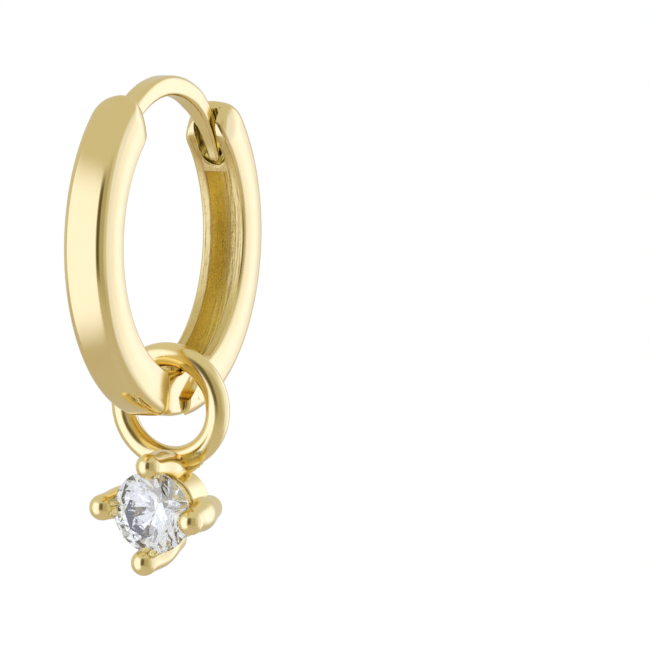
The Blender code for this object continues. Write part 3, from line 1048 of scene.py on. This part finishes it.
pin = rod("hinge_pin_polished", PIN, PIN_RADIUS, BAND_WIDTH - 2 * PIN_SUNK)
bevel_edges(pin, lambda edge: abs(abs(middle(edge).x) - BAND_WIDTH / 2) < NEAR, PIN_BEVEL, PIN_STEPS)
complete(pin, band_gold, "back", "hinge_pin")

# %% [markdown]
# ## The hanging ring
#
# The drop hangs from a ring of round wire. We model the whole drop upright round the ring's centre, and
# tilt it at the end, as it hangs in the photograph. The ring starts as a torus. Wire that has been bent
# and soldered isn't perfect: it is a little flatter where it was soldered to the basket.

# %% Shape the ring
RING_RADIUS = 2.075
RING_WIRE = 0.475
FLAT_SHARE, FLAT_LIFT, FLAT_REACH = 0.9, 0.05, 0.6
DROP_TILT = radians(6.3)
DROP_PLACE = (
    Matrix.Translation(RING_TOP)
    @ Matrix.Rotation(DROP_TILT, 4, "X")
    @ Matrix.Translation((0, 0, -RING_RADIUS))
)


def ring_piece(around=128, across=40):
    rest_tools()
    bpy.ops.mesh.primitive_torus_add(
        major_radius=RING_RADIUS, minor_radius=RING_WIRE, major_segments=around, minor_segments=across,
        rotation=(pi / 2, 0, 0),
    )
    ring = begin("hanging_ring")
    pick(ring, "VERT", lambda vertex: vertex.co.z < -RING_RADIUS - FLAT_SHARE * RING_WIRE)
    bpy.ops.transform.translate(value=(0, 0, FLAT_LIFT), **softly(FLAT_REACH))
    return ring


complete(ring_piece(), drop_gold, "drop", "charm_setting", place=DROP_PLACE)

# %% [markdown]
# ## One claw
#
# A claw is a cast peg with a ball at its tip and a belly behind it, a little like a bean. The ball leans
# over the edge of the stone. We pull the front half of a sphere forwards, cut the long sides into rings,
# swell them with soft selection and let a little smoothing run all of it together. One claw is modelled,
# and the others are turned copies of it.

# %% Shape a claw
BASKET_BELOW = 3.85
BASKET_ROLL = radians(6.4)
CLAW_ROOT, CLAW_ROOT_SPREAD = 0.52, 1.48
CLAW_TIP, CLAW_TIP_SPREAD, CLAW_REACH = 0.53, 1.94, 2.53
CLAW_CUTS = 13
CLAW_BELLY, BELLY_SHARE, BELLY_REACH = 1.28, 0.42, 0.5


def claw_piece():
    rest_tools()
    bpy.ops.mesh.primitive_uv_sphere_add(
        segments=40, ring_count=24, radius=CLAW_ROOT, rotation=(pi / 2, 0, 0),
        location=(0, 0, CLAW_ROOT_SPREAD),
    )
    claw = begin("claw")
    pick(claw, "FACE", lambda face: middle(face).y < 0)
    lean = CLAW_TIP_SPREAD - CLAW_ROOT_SPREAD
    extrude((0, -CLAW_REACH, lean))
    resize((CLAW_TIP / CLAW_ROOT,) * 3, (0, -CLAW_REACH, CLAW_TIP_SPREAD))
    pick(claw, "EDGE", lambda edge: edge.calc_length() > CLAW_REACH / 2)
    bpy.ops.mesh.subdivide(number_cuts=CLAW_CUTS)
    belly = Vector((0, -CLAW_REACH * BELLY_SHARE, CLAW_ROOT_SPREAD + lean * BELLY_SHARE))
    half_ring = CLAW_REACH / (CLAW_CUTS + 1) / 2
    pick(claw, "VERT", lambda vertex: abs(vertex.co.y - belly.y) < half_ring)
    resize((CLAW_BELLY, 1, CLAW_BELLY), belly, **softly(CLAW_REACH * BELLY_REACH))
    close_up(claw)
    modify(claw, "SMOOTH", factor=0.5, iterations=8)
    return claw


def copy_round(piece, turn):
    """A copy with its own mesh, turned about the basket's axis."""
    hold(piece)
    bpy.ops.object.duplicate()
    copy = bpy.context.object
    copy.rotation_euler = (0, turn, 0)
    settle()
    return copy


claw = claw_piece()
report(claw)

# %% [markdown]
# ## The basket
#
# The four claws stand round a collar, a short piece of tube behind the stone. The tube's wall is a rounded
# plate that we spin round the basket's axis. The basket is cast in one piece, so its parts are joined with
# Booleans. Each claw is later notched by a cutter with the stone's own outline, as a setter's burr does it.

# %% Join the basket
COLLAR_INSIDE, COLLAR_WALL, COLLAR_LENGTH, COLLAR_FILLET = 1.09, 0.34, 1.42, 0.12
COLLAR_MIDDLE = -0.50
CLAWS = 4


def collar_piece():
    """A rounded plate above the axis, its face taken out and its rim spun all the way round."""
    collar = bar_section(
        "claw_basket", COLLAR_LENGTH, COLLAR_WALL, COLLAR_INSIDE, COLLAR_FILLET, COLLAR_FILLET, steps=4
    )
    hold(collar)
    collar.rotation_euler = (0, 0, pi / 2)
    collar.location = (0, COLLAR_MIDDLE, 0)
    settle()
    pick(collar, "FACE")
    bpy.ops.mesh.delete(type="ONLY_FACE")
    pick(collar, "VERT")
    bpy.ops.mesh.spin(steps=96, angle=2 * pi, center=(0, 0, 0), axis=(0, 1, 0))
    close_up(collar)
    return collar


basket = collar_piece()
for i in range(CLAWS):
    carve(basket, copy_round(claw, BASKET_ROLL + 2 * pi / CLAWS * i), "UNION")
bpy.data.objects.remove(claw)
report(basket)

# %% [markdown]
# ## The stone
#
# A round brilliant has a flat table, eight stars, eight kites and sixteen upper facets above the girdle,
# and sixteen lower facets and eight mains below it. A cutter grinds each facet as one plane on a round
# blank, and the bisect tool does the same. So every facet is truly flat, and the girdle stays round.

# %% Cut the brilliant
STONE_RADIUS = 1.65
GIRDLE_HEIGHT = 0.10
CROWN_ANGLE, PAVILION_ANGLE = radians(34.5), radians(40.8)
TABLE_SHARE, STAR_SHARE, CULET_SHARE = 0.57, 0.78, 0.22


def blank(name, radius, sides=96):
    """A round rod whose axis runs from the front to the back."""
    rest_tools()
    bpy.ops.mesh.primitive_cylinder_add(
        vertices=sides, radius=radius, depth=3 * radius, rotation=(pi / 2, 0, 0)
    )
    return begin(name)


def grind(stone, tilt, azimuth, at_radius, at_height, side):
    """Cuts one facet: tilted from the table's plane, through a point of the stone's profile."""
    outward = Vector((sin(azimuth), 0, cos(azimuth)))
    forward = Vector((0, -side, 0))
    normal = forward * cos(tilt) + outward * sin(tilt)
    bisect(stone, outward * at_radius + forward * at_height, normal)


def facets(radius):
    """Every kind of facet: how many, first azimuth, tilt, the radius and height it passes, and its side."""
    edge = GIRDLE_HEIGHT / 2
    half = pi / 8
    crown, pavilion = radius * tan(CROWN_ANGLE), radius * tan(PAVILION_ANGLE)
    star = STAR_SHARE * cos(half)
    deep = CULET_SHARE * cos(half)
    flat = TABLE_SHARE * cos(half)
    rim = radius * cos(half / 2)
    upper = atan2(crown * (1 - star), rim * (1 - STAR_SHARE))
    lower = atan2(pavilion * (1 - deep), rim * (1 - CULET_SHARE))
    star_tilt = atan2(crown * (star - TABLE_SHARE), radius * (STAR_SHARE - flat))
    table = edge + crown * (1 - TABLE_SHARE)
    return [
        (8, 0, CROWN_ANGLE, radius, edge, 1),
        (8, 0, PAVILION_ANGLE, radius, edge, -1),
        (16, half / 2, upper, rim, edge, 1),
        (16, half / 2, lower, rim, edge, -1),
        (8, half, star_tilt, radius * flat, table, 1),
        (1, 0, 0, 0, table, 1),
    ]


stone = blank("brilliant", STONE_RADIUS)
for count, first, tilt, at_radius, at_height, side in facets(STONE_RADIUS):
    for i in range(count):
        grind(stone, tilt, first + 2 * pi * i / count, at_radius, at_height, side)
close_up(stone)
report(stone)

# %% [markdown]
# ## Set the stone
#
# The seat is cut with a slightly larger stone, so metal and crystal never touch in the model. Then both
# are placed below the ring. The stone stays flat-shaded, because each facet has to mirror one direction.

# %% Notch the claws and place the basket
SEAT_GAP = 0.03
GIRDLE_AHEAD = 2.05
BASKET_PLACE = DROP_PLACE @ Matrix.Translation((0, 0, -BASKET_BELOW))
STONE_PLACE = (
    BASKET_PLACE @ Matrix.Translation((0, -GIRDLE_AHEAD, 0)) @ Matrix.Rotation(BASKET_ROLL, 4, "Y")
)


def seat_cutter():
    """The stone's outline, a little larger, standing where the stone will be."""
    hold(stone)
    bpy.ops.object.duplicate()
    cutter = bpy.context.object
    cutter.scale = ((STONE_RADIUS + SEAT_GAP) / STONE_RADIUS,) * 3
    cutter.rotation_euler = (0, BASKET_ROLL, 0)
    cutter.location = (0, -GIRDLE_AHEAD, 0)
    settle()
    return cutter


carve(basket, seat_cutter())
complete(basket, drop_gold, "drop", "charm_setting", place=BASKET_PLACE)
complete(stone, crystal, "drop", "stone", place=STONE_PLACE, smooth=None)

# %% [markdown]
# ## Solder
#
# Where the basket meets the ring, solder has run between them and left a rough, lumpy seam along the
# ring's lower edge. No primitive looks like that. We melt a row of small balls into one skin with a voxel
# remesh, then roughen it with a cloud texture.

# %% Melt the solder
SOLDER_BALLS = (
    (-0.42, 0.02, -2.50, 0.22), (-0.10, 0.00, -2.58, 0.30), (0.24, 0.02, -2.60, 0.32),
    (0.52, 0.00, -2.50, 0.28), (0.78, 0.00, -2.38, 0.22), (1.00, 0.00, -2.28, 0.17),
    (1.18, 0.00, -2.18, 0.13), (0.42, -0.16, -2.66, 0.22),
)
SOLDER_VOXEL = 0.03
SKIN_SCALE, SKIN_HEIGHT = 0.09, 0.07


def ball(x, y, z, radius):
    rest_tools()
    bpy.ops.mesh.primitive_ico_sphere_add(subdivisions=3, radius=radius, location=(x, y, z))
    return begin("solder")


def solder_piece():
    lump = ball(*SOLDER_BALLS[0])
    for sizes in SOLDER_BALLS[1:]:
        carve(lump, ball(*sizes), "UNION")
    modify(lump, "REMESH", mode="VOXEL", voxel_size=SOLDER_VOXEL)
    modify(lump, "SMOOTH", factor=0.6, iterations=8)
    clouds = bpy.data.textures.new("solder_skin", "CLOUDS")
    clouds.noise_scale = SKIN_SCALE
    modify(lump, "DISPLACE", texture=clouds, strength=SKIN_HEIGHT, mid_level=0.5)
    return lump


complete(solder_piece(), drop_gold, "drop", "charm_setting", place=DROP_PLACE, smooth=pi)

# %% [markdown]
# ## Studio
#
# The jewel was photographed on white, in a tent of soft light. Polished metal shows nothing but what
# surrounds it, so the surroundings are built with care. The tent is dim and even. A large soft board
# stands at the front left and a bright wall behind on the right, and a weaker board at the side carries
# the wall's light on. A grey card stands at the front right, and a dark card near the lens gives the metal
# its dark lines. The camera sees none of them, only white.
#
# The lights are cool, which turns the yellow of the gold to cream where they are mirrored. What is seen
# through the stone is neutral instead, and leaves the two cards out, so that the stone stays clear.

# %% Shaders for light
WHITE, WHITE_TINT = 1.0, (1.0, 1.0, 1.0)


def give_light(node, tint, radiance):
    """Sets a node that gives light: a Background or an Emission."""
    node.inputs["Color"].default_value = (*tint, 1)
    node.inputs["Strength"].default_value = radiance
    return node


def mix_shaders(tree, share, first, second):
    """A Mix Shader, whose factor comes from a socket."""
    mix = tree.nodes.new("ShaderNodeMixShader")
    tree.links.new(share, mix.inputs[0])
    tree.links.new(first.outputs[0], mix.inputs[1])
    tree.links.new(second.outputs[0], mix.inputs[2])
    return mix


def seen_as(tree, seen, unseen, rays=("Is Camera Ray",)):
    """A shader that shows one thing to the named kinds of ray and another to all the rest."""
    path = tree.nodes.new("ShaderNodeLightPath")
    share = path.outputs[rays[0]]
    for ray in rays[1:]:
        either = tree.nodes.new("ShaderNodeMath")
        either.operation = "MAXIMUM"
        tree.links.new(share, either.inputs[0])
        tree.links.new(path.outputs[ray], either.inputs[1])
        share = either.outputs[0]
    return mix_shaders(tree, share, unseen, seen)


print("the camera sees a white of radiance", WHITE)

# %% Tent and floor
TENT, TENT_TINT = 0.66, (1.0, 0.985, 0.96)
FLOOR_TINT = (0.85, 0.81, 0.75, 1)
FLOOR_RADIUS, FLOOR_HEIGHT = 3, -0.75


def light_world():
    world = bpy.data.worlds.new("studio_tent")
    world.use_nodes = True
    tree = world.node_tree
    tent = give_light(tree.nodes["Background"], TENT_TINT, TENT)
    white = give_light(tree.nodes.new("ShaderNodeBackground"), WHITE_TINT, WHITE)
    both = seen_as(tree, white, tent, ("Is Camera Ray", "Is Transmission Ray"))
    tree.links.new(both.outputs[0], tree.nodes["World Output"].inputs["Surface"])
    bpy.context.scene.world = world


def pale_floor():
    """A wide floor, matt and pale, that the camera sees as white as the background."""
    rest_tools()
    bpy.ops.mesh.primitive_circle_add(
        vertices=96, radius=FLOOR_RADIUS, fill_type="NGON", location=(0, 0, FLOOR_HEIGHT)
    )
    floor = begin("floor")
    matt = Finish("pale_floor", Base_Color=FLOOR_TINT, Roughness=0.9)
    tree = matt.tree
    white = give_light(tree.nodes.new("ShaderNodeEmission"), WHITE_TINT, WHITE)
    both = seen_as(tree, white, matt.shader)
    tree.links.new(both.outputs[0], tree.nodes["Material Output"].inputs["Surface"])
    floor.data.materials.append(matt.material)


light_world()
pale_floor()
bpy.context.scene.view_settings.view_transform = "Standard"
print("tent radiance", TENT)

# %% Soft boards
COOL, WARM_DARK, WARM_GREY = (0.84, 0.90, 1.36), (1.0, 0.8, 0.5), (1.0, 0.95, 0.80)
THROUGH_STONE = (0.96, 0.99, 1.0)


def board_plane(name, azimuth, rise, wide, tall, distance):
    """A plane that faces the jewel from a direction and covers two angles, all in degrees."""
    rest_tools()
    bpy.ops.mesh.primitive_plane_add(size=1)
    board = begin(name, [2 * distance * tan(radians(angle) / 2) for angle in (wide, tall)] + [1])
    away = direction(radians(azimuth), radians(rise))
    board.location = away * distance + HOOP_CENTRE / METRE
    board.rotation_euler = away.to_track_quat("Z", "Y").to_euler()
    return board


def soft_board(
    name, azimuth, rise, wide, tall, radiance, soft, tint=COOL, distance=0.4, through_stone=True
):
    """A glowing board that fades out towards its rim, and looks neutral through the stone."""
    board = board_plane(name, azimuth, rise, wide, tall, distance)
    glow = Finish(name)
    where = glow.node("TexCoord", {}, output="Object")
    glowing = []
    for axis in (0, 1):
        half = board.dimensions[axis] / 2
        across = glow.node("SeparateXYZ", {}, where, output=axis)
        outside = glow.ramp(across.math("ABSOLUTE", across), half * (1 - soft[axis]), half, "SMOOTHSTEP")
        glowing.append(1 - outside)
    tree = glow.tree
    own, neutral = (
        give_light(tree.nodes.new("ShaderNodeEmission"), colour, radiance) for colour in (tint, THROUGH_STONE)
    )
    lit = seen_as(tree, neutral, own, ("Is Transmission Ray",))
    clear = tree.nodes.new("ShaderNodeBsdfTransparent")
    both = mix_shaders(tree, (glowing[1] * glowing[0]).socket, clear, lit)
    tree.links.new(both.outputs[0], tree.nodes["Material Output"].inputs["Surface"])
    board.data.materials.append(glow.material)
    board.visible_camera = False
    board.visible_transmission = through_stone
    print(name, "of radiance", radiance)


soft_board("front_left_board", -38, -5, 74, 110, radiance=1.35, soft=(0.3, 0.6))
soft_board("wall_board", 152, 0, 52, 80, radiance=1.42, soft=(0.95, 0.6))
soft_board("side_board", 118, 0, 54, 84, radiance=1.08, soft=(0.6, 0.6), distance=0.45)
soft_board(
    "dark_card", 15, 10, 42, 80, radiance=0.12, soft=(0.6, 0.6), tint=WARM_DARK, distance=0.35,
    through_stone=False,
)
soft_board(
    "grey_card", 48, 5, 62, 90, radiance=0.46, soft=(0.5, 0.6), tint=WARM_GREY, distance=0.38,
    through_stone=False,
)

# %% [markdown] ## Finish  The jewel's box has to stay the packed model's box.
